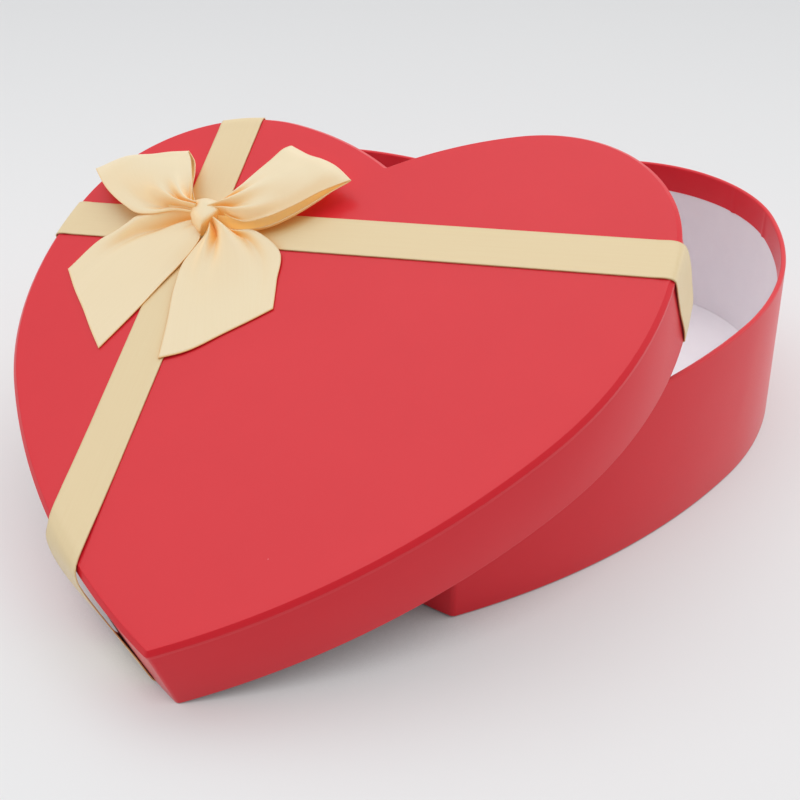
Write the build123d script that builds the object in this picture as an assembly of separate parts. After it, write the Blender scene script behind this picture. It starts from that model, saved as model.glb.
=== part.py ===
from build123d import *
import math
import os

# Heart-shaped gift box of paper-covered board, with its lid taken off and leaning on the base.
# Millimetres and degrees. The base stands on z = 0 with its tip towards -Y and its middle at the origin.

# Outside of the base: half of the heart, from the tip round a lobe to the cleft, as arcs that run on smoothly
tip_half_angle = 61.0
side_radius = 317.5
side_sweep = 29.0
shoulder_radius = 148.0
shoulder_sweep = 42.2
lobe_radius = 67.1
lobe_sweep = 93.2
crown_radius = 153.0

# Sheet stock
board_thickness = 1.2
floor_board_thickness = 3.0
paper_thickness = 0.2
glue_line = 0.1
butt_gap = 0.2
tape_half_width = 12.0

# Base
base_height = 75.0
base_turn_in_depth = 13.0
base_turn_under_width = 12.0
underside_inset = 3.0
liner_drop = 3.0

# Lid
lid_depth = 33.8
lid_clearance = 0.6
lid_lip_depth = 2.8
lid_turn_over_width = 10.0
lid_turn_in_depth = 13.0

# How the lid lies: its tip on the table, seen from the base's tip, and its turn about the upright
lid_tip_left = 97.7
lid_tip_ahead = 58.4
lid_turn = -19.0
contact_gap = 0.3
first_slope_shares = (-0.25, -0.32)
slope_step_share = 0.0001
settling_rounds = 20
halvings = 60
rim_samples = 400

# Ribbon bands on the lid
band_width = 20.0
ribbon_thickness = 0.4
band_across_from_tip = 205.2
band_across_turn = 0.8
band_along_from_axis = 73.2
band_along_turn = 6.1
band_tab_length = 12.0
band_ramp_length = 6.0

# Bow, tied of a wider ribbon; turns and places round the knot are seen from above the lid
bow_ribbon_width = 50.0
bow_from_crossing = 5.0
glue_pad_diameter = 14.0
glue_pad_thickness = 1.0
knot_diameter = 16.0
knot_height = 11.0
knot_round_share = 0.4
loop_root_spread = 60.0
loop_fold_radius = 5.0
loop_crest_share = 1.02
loop_belly_share = 0.32
loop_middle_share = 0.55
left_loop_turn = 106.8
left_loop_root = 150.0
left_loop_reach = 42.9
left_loop_shift = 34.5
left_loop_fold_height = 8.0
right_loop_turn = 62.8
right_loop_root = 30.0
right_loop_reach = 51.6
right_loop_shift = -21.1
right_loop_fold_height = 9.0
tail_root_width = 12.0
tail_shift = 15.0
tail_shoulder = 20.0
tail_lift = 0.2
tail_gap = 0.6
left_tail_turn = 249.5
left_tail_length = 61.5
left_tail_slant = 12.9
right_tail_turn = 287.4
right_tail_length = 64.3
right_tail_slant = 9.8


def point_at(centre, radius, angle):
    turn = math.radians(angle)
    return centre[0] + radius * math.cos(turn), centre[1] + radius * math.sin(turn)


def half_outline():
    """Centre, radius, first and last angle of each arc of the right half, from the tip to the cleft."""
    runs = ((side_radius, side_sweep), (shoulder_radius, shoulder_sweep),
            (lobe_radius, lobe_sweep), (crown_radius, None))
    arcs = []
    start = (0, 0)
    heading = 90 - tip_half_angle
    for radius, sweep in runs:
        centre = point_at(start, radius, heading + 90)
        first = heading - 90
        last = first + sweep if sweep else math.degrees(math.acos(-centre[0] / radius))
        arcs.append((centre, radius, first, last))
        start = point_at(centre, radius, last)
        heading = last + 90
    return arcs


outline = half_outline()
lobe_top = outline[2][0][1] + lobe_radius
heart_middle = lobe_top / 2
overrun = 2 * lobe_top


def offset_arcs(offset):
    """The same arcs moved outwards by an offset, cut again at the heart's axis."""
    arcs = [[centre, radius + offset, first, last] for centre, radius, first, last in outline]
    arcs[0][2] = -math.degrees(math.acos(-arcs[0][0][0] / arcs[0][1]))
    arcs[-1][3] = math.degrees(math.acos(-arcs[-1][0][0] / arcs[-1][1]))
    return arcs


def tip_of(offset):
    centre, radius, first, last = offset_arcs(offset)[0]
    return point_at(centre, radius, first)[1]


def heart(offset):
    edges = []
    for centre, radius, first, last in offset_arcs(offset):
        points = [point_at(centre, radius, angle) for angle in (first, (first + last) / 2, last)]
        edges.append(ThreePointArc(*points))
        edges.append(ThreePointArc(*[(-x, y) for x, y in points]))
    return make_face(edges)


def slab(offset, low, high):
    return extrude(Pos(0, 0, low) * heart(offset), high - low)


def ring(outside, inside, low, high):
    return extrude(Pos(0, 0, low) * (heart(outside) - heart(inside)), high - low)


def right_of(solid, start):
    return solid & Pos(start + overrun / 2, 0, 0) * Box(overrun, 2 * overrun, 2 * overrun)


def pair(name, solid, start):
    """The right and left stretch of a ring that leaves out its middle at the tip and at the cleft."""
    right = right_of(solid, start)
    return {name + "_right": right, name + "_left": mirror(right, about=Plane.YZ)}


def tapes(name, solid):
    """The two stretches of a ring at the tip and at the cleft."""
    strip = Box(2 * tape_half_width, overrun, 2 * overrun)
    below = heart_middle - overrun / 2
    places = {"_tip_tape": below, "_cleft_tape": below + overrun}
    return {name + end: solid & Pos(0, place, 0) * strip for end, place in places.items()}


# Layers of a covered wall, each as its outside and inside offset from the wall's outer face
layer_step = paper_thickness + glue_line
wall_thickness = 3 * layer_step + board_thickness


def wall_layers(outside):
    layers = {}
    sheets = [("wrap", paper_thickness), ("board", board_thickness)]
    sheets += [("liner", paper_thickness), ("turn_in", paper_thickness)]
    for name, thickness in sheets:
        layers[name] = (outside, outside - thickness)
        outside -= thickness + glue_line
    return layers


def base_pieces():
    wall = wall_layers(0)
    foot = layer_step
    board_foot = 2 * layer_step
    floor_top = board_foot + floor_board_thickness
    rim = base_height - layer_step
    wrap_out, wrap_in = wall["wrap"]
    turn_out, turn_in = wall["turn_in"]
    liner = ring(*wall["liner"], floor_top + glue_line, base_height - liner_drop)
    wrap = ring(wrap_out, wrap_in, foot, base_height)
    wrap += ring(wrap_out, turn_in, base_height - paper_thickness, base_height)
    wrap += ring(turn_out, turn_in, base_height - base_turn_in_depth, base_height)
    wrap += ring(wrap_out, wrap_out - base_turn_under_width, foot, foot + paper_thickness)
    pieces = {
        "base_floor_board": slab(wall["board"][1] - glue_line, board_foot, floor_top),
        "base_floor_liner": slab(wall["liner"][1] - glue_line, floor_top + glue_line, floor_top + layer_step),
        "base_underside_paper": slab(wrap_out - underside_inset, 0, paper_thickness),
        "base_wrap_paper": wrap,
    }
    pieces |= pair("base_wall_board", ring(*wall["board"], board_foot, rim), butt_gap / 2)
    pieces |= pair("base_wall_liner", liner, tape_half_width + glue_line)
    pieces |= tapes("base", liner)
    return {name: Pos(0, -heart_middle, 0) * piece for name, piece in pieces.items()}


lid_outside = lid_clearance + wall_thickness
lid_ceiling = lid_depth - wall_thickness
lid_wall = wall_layers(lid_outside)


def lid_pieces():
    wrap_out, wrap_in = lid_wall["wrap"]
    turn_out, turn_in = lid_wall["turn_in"]
    liner_out, liner_in = lid_wall["liner"]
    flange_top = lid_depth - layer_step
    board_top = flange_top - layer_step
    board_under = board_top - board_thickness
    lip_out = wrap_out + layer_step
    liner = ring(liner_out, liner_in, liner_drop, board_under - glue_line)
    wrap = ring(wrap_out, wrap_in, 0, flange_top)
    wrap += ring(wrap_out, wrap_out - lid_turn_over_width, flange_top - paper_thickness, flange_top)
    wrap += ring(wrap_out, turn_in, 0, paper_thickness)
    wrap += ring(turn_out, turn_in, 0, lid_turn_in_depth)
    top = slab(lip_out, lid_depth - paper_thickness, lid_depth)
    top += ring(lip_out, lip_out - paper_thickness, lid_depth - lid_lip_depth, lid_depth)
    pieces = {
        "lid_top_board": slab(lid_wall["board"][1] - glue_line, board_under, board_top),
        "lid_top_liner": slab(liner_in - glue_line, board_under - layer_step, board_under - glue_line),
        "lid_top_paper": top,
        "lid_wrap_paper": wrap,
    }
    pieces |= pair("lid_wall_board", ring(*lid_wall["board"], layer_step, board_top), butt_gap / 2)
    pieces |= pair("lid_wall_liner", liner, tape_half_width + glue_line)
    pieces |= tapes("lid", liner)
    return pieces


def nearest_arc(x, y):
    """The arc of the outline whose sector holds a point."""
    for centre, radius, first, last in outline:
        turned = math.degrees(math.atan2(y - centre[1], abs(x) - centre[0])) - first
        if (turned + 90) % 360 - 90 <= last - first:
            break
    return centre, radius


def outline_offset(x, y):
    """How far a point lies outside the base's outline; negative inside it."""
    centre, radius = nearest_arc(x, y)
    return math.hypot(abs(x) - centre[0], y - centre[1]) - radius


def first_crossing(value, low, high):
    """Where a value that is negative at low and positive at high passes zero."""
    for _ in range(halvings):
        middle = (low + high) / 2
        low, high = (middle, high) if value(middle) < 0 else (low, middle)
    return (low + high) / 2


# Band and bow heights over the lid's top, and the bands' crossing, in the lid's own axes
band_low = lid_depth + glue_line
band_top = band_low + ribbon_thickness
crossing_top = band_top + glue_line + ribbon_thickness
band_inside = lid_outside + layer_step + glue_line
band_outside = band_inside + ribbon_thickness
tab_outside = lid_wall["turn_in"][1] - glue_line
tab_inside = tab_outside - ribbon_thickness
band_foot = -glue_line - ribbon_thickness
lid_tip = tip_of(lid_outside)
crossing = (-band_along_from_axis, lid_tip + band_across_from_tip)


def edge_of_lid(heading):
    """Where a line from the crossing leaves the lid's edge, and the edge's outward direction there."""
    way = point_at((0, 0), 1, heading)

    def beyond(run):
        return outline_offset(crossing[0] + run * way[0], crossing[1] + run * way[1]) - band_inside

    run = first_crossing(beyond, 0, overrun)
    x, y = crossing[0] + run * way[0], crossing[1] + run * way[1]
    centre, radius = nearest_arc(x, y)
    outward = Vector(math.copysign(abs(x) - centre[0], x), y - centre[1], 0).normalized()
    return (x, y), outward, Vector(*way, 0)


def band_end(heading):
    """A band's run down the skirt, under its foot and up inside, slanted as the fold at the edge turns it."""
    place, outward, way = edge_of_lid(heading)
    tangent = Vector(0, 0, 1).cross(outward)
    wall = Plane(origin=(*place, 0), x_dir=tangent, z_dir=outward)
    half = band_width / 2 / way.dot(outward)
    slant = way.dot(tangent) / way.dot(outward)
    drop = slant * (band_top - band_foot)
    rise = slant * band_tab_length
    tab_end = band_foot + band_tab_length
    tab_far = drop + rise
    foot_line = [(drop - half, band_foot), (drop + half, band_foot)]
    run = Polygon(*foot_line, (half, band_top), (-half, band_top), align=None)
    tab = Polygon(*foot_line, (tab_far + half, tab_end), (tab_far - half, tab_end), align=None)
    run_prism = extrude(wall * run, band_width, both=True)
    tab_prism = extrude(wall * tab, band_width, both=True)
    end = ring(band_outside, band_inside, band_foot, band_top) & run_prism
    end += ring(band_outside, tab_inside, band_foot, band_foot + ribbon_thickness) & tab_prism
    return end + (ring(tab_outside, tab_inside, band_foot, tab_end) & tab_prism)


def band_strip(turn):
    strip = Pos(*crossing, 0) * Rot(0, 0, turn) * Rectangle(2 * overrun, band_width) & heart(band_outside)
    return extrude(Pos(0, 0, band_low) * strip, ribbon_thickness)


def across_hump():
    """The short stretch of the across band that climbs over the along band, and its room in the band."""
    turn = math.radians(band_along_turn - band_across_turn)
    flat = band_width / 2 * (1 / math.cos(turn) + math.tan(turn)) + glue_line
    rise = crossing_top - band_top
    lower = [(-flat - band_ramp_length, 0), (-flat, rise), (flat, rise), (flat + band_ramp_length, 0)]
    upper = [(x, z + ribbon_thickness) for x, z in reversed(lower)]
    hump = extrude(Plane.XZ * Polygon(*lower, *upper, align=None), band_width / 2, both=True)
    opening = Box(2 * (flat + band_ramp_length), overrun, overrun)
    place = Pos(*crossing, band_low) * Rot(0, 0, band_across_turn)
    return place * hump, place * opening


def ribbon_bands():
    hump, opening = across_hump()
    across = band_across_turn
    along = 90 + band_along_turn
    return {
        "ribbon_across": band_strip(across) - opening + hump + band_end(across) + band_end(across + 180),
        "ribbon_along": band_strip(along) + band_end(along) + band_end(along + 180),
    }


bow_place = (crossing[0] + bow_from_crossing, crossing[1])
pad_low = crossing_top + glue_line
knot_low = pad_low + glue_pad_thickness + glue_line


def bow_loop(turn, root_turn, reach, shift, fold_height):
    """A loop of ribbon: its side profile, drawn out sideways and cut to its fan from the knot to the fold."""
    root_height = knot_low + knot_height / 2
    root_half = knot_height / 4
    fold = lid_depth + fold_height
    turn_back = reach - loop_fold_radius
    middle = loop_middle_share * turn_back
    crest = lid_depth + loop_crest_share * (fold_height + loop_fold_radius)
    belly = knot_low + loop_belly_share * (fold_height - loop_fold_radius)
    fold_top = (turn_back, fold + loop_fold_radius)
    fold_foot = (turn_back, fold - loop_fold_radius)
    upper = ThreePointArc((0, root_height + root_half), (middle, crest), fold_top)
    end = ThreePointArc(fold_top, (reach, fold), fold_foot)
    lower = ThreePointArc(fold_foot, (middle, belly), (0, root_height - root_half))
    outer = make_face([upper, end, lower, Line(lower @ 1, upper @ 0)])
    section = outer - offset(outer, -ribbon_thickness)
    clear = (knot_diameter / 2 + glue_line) / math.cos(math.radians(loop_root_spread / 2))
    roots = [point_at((0, 0), clear, root_turn - turn + side * loop_root_spread / 2) for side in (1, -1)]
    half = bow_ribbon_width / 2
    fan = Polygon(*roots, (reach, shift - half), (reach, shift + half), align=None)
    band = extrude(Plane.XZ * section, overrun, both=True) & extrude(fan, overrun, dir=(0, 0, 1))
    return Pos(*bow_place, 0) * Rot(0, 0, turn) * band


def bow_tail(turn, length, slant, outer):
    """A flat tail with a slanted cut, pinched under the knot; outer is the side away from the other tail."""
    root = glue_pad_diameter / 2 + tail_gap
    near = outer * (tail_shift - bow_ribbon_width / 2)
    far = outer * (tail_shift + bow_ribbon_width / 2)
    plan = Polygon(
        (root, -outer * tail_root_width / 2), (tail_shoulder, near), (length + slant, near),
        (length - slant, far), (tail_shoulder, far), (root, outer * tail_root_width / 2), align=None)
    blank = extrude(Pos(0, 0, crossing_top + tail_lift) * plan, ribbon_thickness, dir=(0, 0, 1))
    tail = Pos(*bow_place, 0) * Rot(0, 0, turn) * blank
    away = Box(overrun, overrun, 2 * overrun)
    return tail & Pos(bow_place[0] + outer * (overrun + tail_gap) / 2, bow_place[1] - overrun / 2, 0) * away


def bow_pieces():
    upright = (Align.CENTER, Align.CENTER, Align.MIN)
    knot = Cylinder(knot_diameter / 2, knot_height, align=upright)
    knot = fillet(knot.edges().filter_by(GeomType.CIRCLE), knot_round_share * knot_height)
    pad = Cylinder(glue_pad_diameter / 2, glue_pad_thickness, align=upright)
    return {
        "bow_glue_pad": Pos(*bow_place, pad_low) * pad,
        "bow_knot": Pos(*bow_place, knot_low) * knot,
        "bow_left_loop": bow_loop(
            left_loop_turn, left_loop_root, left_loop_reach, left_loop_shift, left_loop_fold_height),
        "bow_right_loop": bow_loop(
            right_loop_turn, right_loop_root, right_loop_reach, right_loop_shift, right_loop_fold_height),
        "bow_left_tail": bow_tail(left_tail_turn, left_tail_length, left_tail_slant, -1),
        "bow_right_tail": bow_tail(right_tail_turn, right_tail_length, right_tail_slant, 1),
    }


# The lid's lean: the two slopes at which its skirt and the underside of its top both rest on the base's rim
tip_place = Vector(-lid_tip_left, -heart_middle - lid_tip_ahead, 0)


def lid_axes(slopes):
    normal = Vector(slopes[0], slopes[1], 1).normalized()
    ahead = Vector(*point_at((0, 0), 1, 90 + lid_turn), 0)
    along = (ahead - normal * ahead.dot(normal)).normalized()
    return along.cross(normal), along, normal


def rim_in_lid(axes, offset, place):
    """A point of the base's left rim in the lid's axes; place counts the arcs from the tip."""
    arcs = offset_arcs(offset)
    index = min(int(place), len(arcs) - 1)
    centre, radius, first, last = arcs[index]
    x, y = point_at(centre, radius, first + (last - first) * (place - index))
    seen = Vector(-x, y - heart_middle, base_height) - tip_place
    return seen.dot(axes[0]), seen.dot(axes[1]) + lid_tip, seen.dot(axes[2])


def contact_errors(slopes):
    """How far the rim stands above the two places where it should carry the lid."""
    axes = lid_axes(slopes)
    under_top = max(rim_in_lid(axes, 0, 2 * sample / rim_samples)[2] for sample in range(rim_samples))
    under_foot = []
    for rim_offset in (0, -wall_thickness):
        for skirt_offset in (lid_outside, lid_outside - wall_thickness):
            def beyond(place):
                x, y, _ = rim_in_lid(axes, rim_offset, place)
                return outline_offset(x, y) - skirt_offset

            place = first_crossing(beyond, 0, len(outline))
            under_foot.append(rim_in_lid(axes, rim_offset, place)[2])
    return under_top + contact_gap - lid_ceiling, max(under_foot) + contact_gap


def settled_slopes():
    x, y = first_slope_shares
    step = slope_step_share
    for _ in range(settling_rounds):
        here = contact_errors((x, y))
        by_x = [(after - before) / step for after, before in zip(contact_errors((x + step, y)), here)]
        by_y = [(after - before) / step for after, before in zip(contact_errors((x, y + step)), here)]
        spread = by_x[0] * by_y[1] - by_x[1] * by_y[0]
        x -= (here[0] * by_y[1] - here[1] * by_y[0]) / spread
        y -= (by_x[0] * here[1] - by_x[1] * here[0]) / spread
    return x, y


lean = lid_axes(settled_slopes())
lid_place = Plane(origin=tip_place, x_dir=lean[0], z_dir=lean[2]).location * Pos(0, -lid_tip, 0)

pieces = base_pieces()
for group in (lid_pieces(), ribbon_bands(), bow_pieces()):
    pieces |= {name: lid_place * piece for name, piece in group.items()}

os.makedirs("parts", exist_ok=True)
for name, piece in pieces.items():
    export_step(piece, "parts/" + name + ".step")
print("lid's upward direction", lean[2], "contacts", contact_errors(settled_slopes()))
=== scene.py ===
import math

import bmesh
import bpy
import numpy as np
from mathutils import Matrix, Vector


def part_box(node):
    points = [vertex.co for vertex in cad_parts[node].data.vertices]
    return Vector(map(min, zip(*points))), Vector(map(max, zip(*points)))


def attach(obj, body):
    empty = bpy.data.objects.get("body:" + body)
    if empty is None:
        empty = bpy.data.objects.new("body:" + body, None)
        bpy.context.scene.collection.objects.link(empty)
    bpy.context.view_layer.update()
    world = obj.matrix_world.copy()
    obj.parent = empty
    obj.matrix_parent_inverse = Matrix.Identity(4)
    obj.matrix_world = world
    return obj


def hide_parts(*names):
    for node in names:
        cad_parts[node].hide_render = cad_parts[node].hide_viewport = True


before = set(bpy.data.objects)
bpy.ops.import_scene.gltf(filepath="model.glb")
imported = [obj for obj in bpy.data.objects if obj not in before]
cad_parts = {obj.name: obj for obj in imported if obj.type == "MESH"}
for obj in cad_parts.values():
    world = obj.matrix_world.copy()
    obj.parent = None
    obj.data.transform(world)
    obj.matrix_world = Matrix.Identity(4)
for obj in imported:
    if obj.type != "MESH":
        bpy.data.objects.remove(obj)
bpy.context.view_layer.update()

# Stiffening boards: grey pulp board, die-cut for the floor and the top, and bent into two half rings for
# each wall. They are butted at the tip and in the cleft, and paper covers them on every side.
mm = 0.001
boards = ["base_floor_board", "base_wall_board_left", "base_wall_board_right"]
boards += ["lid_top_board", "lid_wall_board_left", "lid_wall_board_right"]
board_fibre_length = 1.4 * mm
board_felt_depth = 0.1 * mm


def colour(code):
    """An sRGB hex colour as the linear values that a shader takes."""
    parts = [int(code[i:i + 2], 16) / 255 for i in (1, 3, 5)]
    return (*[v / 12.92 if v <= 0.04045 else ((v + 0.055) / 1.055) ** 2.4 for v in parts], 1.0)


def add_node(tree, kind, sockets=None, **settings):
    """A node with its settings; sockets gives inputs, by name or number, a value or a node's output."""
    node = tree.nodes.new(kind)
    for name, value in settings.items():
        setattr(node, name, value)
    for socket, value in (sockets or {}).items():
        if isinstance(value, bpy.types.NodeSocket):
            tree.links.new(value, node.inputs[socket])
        else:
            node.inputs[socket].default_value = value
    return node


def new_finish(name, **sockets):
    """A material with its shader's constant values set; returns it with its tree and shader."""
    material = bpy.data.materials.new(name)
    material.use_nodes = True
    shader = material.node_tree.nodes["Principled BSDF"]
    for socket, value in sockets.items():
        shader.inputs[socket.replace("_", " ")].default_value = value
    return material, material.node_tree, shader


def pulp_board():
    """Pressed recycled pulp: matt, grey-brown, with darker and paler fibres and a faint felt texture."""
    material, tree, shader = new_finish("grey pulp board", Roughness=0.9)
    place = add_node(tree, "ShaderNodeTexCoord").outputs["Object"]
    fibres = add_node(tree, "ShaderNodeTexNoise",
                      {"Vector": place, "Scale": 1 / board_fibre_length, "Detail": 5.0})
    tone = add_node(tree, "ShaderNodeMix",
                    {0: fibres.outputs[0], 6: colour("#837B6E"), 7: colour("#B7AFA1")}, data_type="RGBA")
    felt = add_node(tree, "ShaderNodeBump",
                    {"Height": fibres.outputs[0], "Strength": 0.4, "Distance": board_felt_depth})
    tree.links.new(tone.outputs[2], shader.inputs["Base Color"])
    tree.links.new(felt.outputs[0], shader.inputs["Normal"])
    return material


def cover_nodes(names, material):
    """Gives CAD nodes a material; their meshes stay as they are."""
    for name in names:
        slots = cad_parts[name].data.materials
        slots.clear()
        slots.append(material)


cover_nodes(boards, pulp_board())

# Linings and joining tapes: uncoated white paper, glued inside the walls, on the floor and under the lid's
# top. The tapes bridge the two butt joints of each wall.
linings = ["base_wall_liner_left", "base_wall_liner_right", "base_floor_liner"]
linings += ["lid_wall_liner_left", "lid_wall_liner_right", "lid_top_liner"]
linings += ["base_tip_tape", "base_cleft_tape", "lid_tip_tape", "lid_cleft_tape"]
paper_cloud_size = 9 * mm
paper_tooth_size = 0.5 * mm
paper_tooth_depth = 0.05 * mm
paper_speck_spacing = 16 * mm
paper_speck_share = 0.025


def white_paper():
    """Uncoated paper: matt cool white, slightly cloudy, with a fine tooth and a few grey specks of pulp."""
    material, tree, shader = new_finish("uncoated white paper", Roughness=0.82)
    place = add_node(tree, "ShaderNodeTexCoord").outputs["Object"]
    clouds = add_node(tree, "ShaderNodeTexNoise",
                      {"Vector": place, "Scale": 1 / paper_cloud_size, "Detail": 3.0})
    tone = add_node(tree, "ShaderNodeMix",
                    {0: clouds.outputs[0], 6: colour("#F4F1F6"), 7: colour("#FAF7FB")}, data_type="RGBA")
    cells = add_node(tree, "ShaderNodeTexVoronoi", {"Vector": place, "Scale": 1 / paper_speck_spacing})
    speck = add_node(tree, "ShaderNodeMath", {0: cells.outputs["Distance"], 1: paper_speck_share},
                     operation="LESS_THAN")
    specked = add_node(tree, "ShaderNodeMix",
                       {0: speck.outputs[0], 6: tone.outputs[2], 7: colour("#A69CA6")}, data_type="RGBA")
    tooth = add_node(tree, "ShaderNodeTexNoise",
                     {"Vector": place, "Scale": 1 / paper_tooth_size, "Detail": 2.0})
    grain = add_node(tree, "ShaderNodeBump",
                     {"Height": tooth.outputs[0], "Strength": 0.25, "Distance": paper_tooth_depth})
    tree.links.new(specked.outputs[2], shader.inputs["Base Color"])
    tree.links.new(grain.outputs[0], shader.inputs["Normal"])
    return material


cover_nodes(linings, white_paper())

# Red wrap of the base: one strip of coated paper round the outside of the wall. It is turned in over the
# rim, where it pleats round the lobes, and turned under the foot. A sheet of the same paper closes the
# underside.
tip_half_angle = 61.0
outline_runs = ((317.5 * mm, 29.0), (148 * mm, 42.2), (67.1 * mm, 93.2), (153 * mm, None))
outline_step = 1.0 * mm
rounding_steps = 8
edge_steps = 4
wall_thickness = 2.1 * mm
paper_thickness = 0.2 * mm
crisp_angle = 50
base_rim_radius = 1.0 * mm
base_height = 75 * mm
base_foot = 0.3 * mm
base_turn_in = 13 * mm
base_turn_under = 12 * mm
base_tip_radius = 3 * mm
base_wrap_ease = 0.25 * mm
cleft_radius = 1.2 * mm
turn_in_wave = 0.5 * mm
turn_in_wave_length = 28 * mm
turn_in_pleat = 0.6 * mm
pleat_places = (274.6 * mm, 302.8 * mm)
pleat_width = 1.2 * mm
dye_cloud_size = 45 * mm
coat_grain_size = 0.7 * mm
coat_grain_depth = 0.04 * mm
board_ripple_size = 34 * mm
board_ripple_depth = 0.35 * mm
dust_spacing = 26 * mm
dust_share = 0.012


def direction(angle):
    """The unit vector at an angle in degrees."""
    return np.array((math.cos(math.radians(angle)), math.sin(math.radians(angle))))


def heart_arcs():
    """The right half's arcs, from the tip at (0, 0) to the cleft: centre, radius, first and last angle."""
    arcs = []
    start = Vector((0, 0))
    heading = 90 - tip_half_angle
    for radius, sweep in outline_runs:
        centre = start + radius * Vector(direction(heading + 90))
        first = heading - 90
        last = first + sweep if sweep else math.degrees(math.acos(-centre.x / radius))
        arcs.append((centre, radius, first, last))
        start = centre + radius * Vector(direction(last))
        heading = last + 90
    return arcs


def heart_outline(outside, tip_radius):
    """Points once round the heart, so far outside the base's outline, and the outward direction at each.
    An arc is its centre, radius, first and last angle, and -1 where its centre lies outside, else 1."""
    arcs = [[centre, radius + outside, first, last, 1] for centre, radius, first, last in heart_arcs()]
    side, crown = arcs[0], arcs[-1]
    drop = math.sqrt((side[1] - tip_radius) ** 2 - side[0].x ** 2)
    side[2] = math.degrees(math.atan2(-drop, -side[0].x))
    rise = math.sqrt((crown[1] + cleft_radius) ** 2 - crown[0].x ** 2)
    crown[3] = math.degrees(math.atan2(rise, -crown[0].x))
    tip = [Vector((0, side[0].y - drop)), tip_radius, -90, side[2], 1]
    cleft = [Vector((0, crown[0].y + rise)), cleft_radius, crown[3] - 180, -90, -1]
    points, outward = [], []
    for centre, radius, first, last, way in (tip, *arcs, cleft):
        length = radius * math.radians(abs(last - first))
        steps = max(rounding_steps, math.ceil(length / outline_step))
        for angle in np.linspace(first, last, steps, endpoint=False):
            points.append(np.array(centre) + radius * direction(angle))
            outward.append(way * direction(angle))
    points.append(np.array((0, cleft[0].y - cleft_radius)))
    outward.append(np.array((0.0, 1.0)))
    flip = np.array((-1, 1))
    left = slice(len(points) - 2, 0, -1)
    points = np.concatenate([points, np.array(points)[left] * flip])
    outward = np.concatenate([outward, np.array(outward)[left] * flip])
    return points, outward


def run_lengths(points):
    """How far along a closed outline each of its points lies, and at the end its whole length."""
    gaps = np.linalg.norm(np.roll(points, -1, axis=0) - points, axis=1)
    return np.concatenate([[0], np.cumsum(gaps)])


def add_object(name, data):
    """A new object in the scene, at the origin."""
    made = bpy.data.objects.new(name, data)
    bpy.context.scene.collection.objects.link(made)
    return made


def edge_object(name, points, closed, **values):
    """A line of edges with named values at its points."""
    mesh = bpy.data.meshes.new(name)
    count = len(points)
    edges = [(i, (i + 1) % count) for i in range(count if closed else count - 1)]
    mesh.from_pydata([(*p, 0) for p in points], edges, [])
    for label, numbers in values.items():
        layer = mesh.attributes.new(label, "FLOAT", "POINT")
        layer.data.foreach_set("value", np.array(numbers, np.float32))
    return add_object(name, mesh)


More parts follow.
